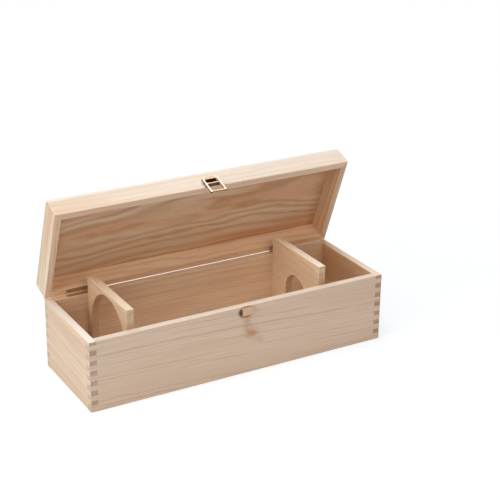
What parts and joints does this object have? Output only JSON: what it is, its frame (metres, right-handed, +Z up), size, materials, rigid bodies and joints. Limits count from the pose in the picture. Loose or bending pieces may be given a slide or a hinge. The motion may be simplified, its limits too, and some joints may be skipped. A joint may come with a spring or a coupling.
{
  "type": "wooden wine case",
  "caption": "Wooden case for a lying bottle: finger-jointed base with arched dividers, a hinged mitred lid and a swinging brass hasp over a hook.",
  "frame": {"origin": "middle of the underside of the base", "axes": "+X along the length to the right, +Y from the front wall to the hinges, +Z up"},
  "size_m": [0.35, 0.1415, 0.195],
  "materials": {
    "wall_wood": "planed, unvarnished",
    "rail_wood": "planed, unvarnished",
    "panel_wood": "planed, unvarnished",
    "divider_wood": "planed, unvarnished",
    "hinge_brass": "dull",
    "fixing_brass": "dull",
    "latch_brass": "satin",
    "keeper_brass": "satin"
  },
  "bodies": {
    "base": {"front_wall": "wall_wood", "back_wall": "wall_wood", "left_end_wall": "wall_wood", "right_end_wall": "wall_wood", "floor_panel": "panel_wood", "body_divider": "divider_wood", "neck_divider": "divider_wood", "left_hinge_base_leaf": "hinge_brass", "right_hinge_base_leaf": "hinge_brass", "left_hinge_pin": "hinge_brass", "right_hinge_pin": "hinge_brass", "hinge_base_screws": "fixing_brass", "keeper": "keeper_brass", "keeper_nails": "fixing_brass"},
    "lid": {"lid_front_rail": "rail_wood", "lid_back_rail": "rail_wood", "lid_left_rail": "rail_wood", "lid_right_rail": "rail_wood", "lid_panel": "panel_wood", "left_hinge_lid_leaf": "hinge_brass", "right_hinge_lid_leaf": "hinge_brass", "hinge_lid_screws": "fixing_brass", "latch_plate": "latch_brass", "latch_nails": "fixing_brass", "latch_pin": "latch_brass"},
    "hasp": {"latch_hasp": "latch_brass"}
  },
  "joints": [
    {"name": "lid_hinge", "type": "hinge", "parent": "base", "child": "lid", "pos_m": [0, 0.05805, 0.07805], "axis": [-1, 0, 0], "range_deg": [-69, 111]},
    {"name": "hasp_hinge", "type": "hinge", "parent": "lid", "child": "hasp", "pos_m": [0.004, 0.02617, 0.19333], "axis": [-1, 0, 0], "range_deg": [-5, 150]}
  ]
}
